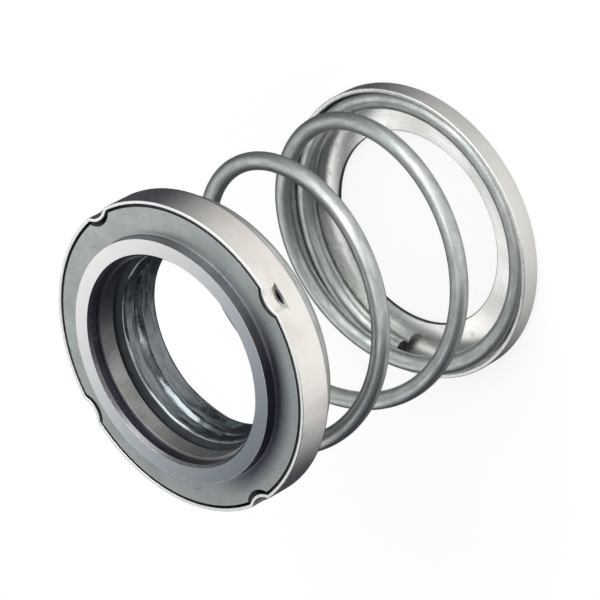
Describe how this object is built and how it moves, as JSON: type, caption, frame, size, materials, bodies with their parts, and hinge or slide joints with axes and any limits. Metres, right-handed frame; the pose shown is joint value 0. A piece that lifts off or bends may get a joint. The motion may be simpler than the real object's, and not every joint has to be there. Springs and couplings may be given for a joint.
{
  "type": "component mechanical seal",
  "caption": "Rotating head of a mechanical shaft seal: carbon face ring and rubber boot in a dimpled steel shell, pressed forward by one coil spring in a cup.",
  "frame": {"origin": "centre of the spring cup's back face, on the shaft's axis", "axes": "+Z along the shaft's axis, from the spring cup to the sealing face; +X and +Y pass through dimples of the shell"},
  "size_m": [0.052, 0.052, 0.06],
  "materials": {
    "cup_steel": "bright pressed stainless sheet",
    "spring_steel": "satin drawn stainless wire",
    "shell_steel": "bright drawn stainless sheet",
    "carbon": "moulded carbon, lapped on its nose",
    "rubber": "moulded black rubber, slightly glossy"
  },
  "bodies": {
    "holder": {"spring_cup": "cup_steel", "coil_spring": "spring_steel"},
    "head": {"head_shell": "shell_steel", "seal_ring": "carbon", "rubber_boot": "rubber", "drive_band": "shell_steel"}
  },
  "joints": [
    {"name": "head_slide", "type": "slide", "parent": "holder", "child": "head", "axis": [0, 0, 1], "range_m": [-0.025, 0], "stiffness_N_per_m": 3200, "deforming": ["coil_spring"]}
  ]
}
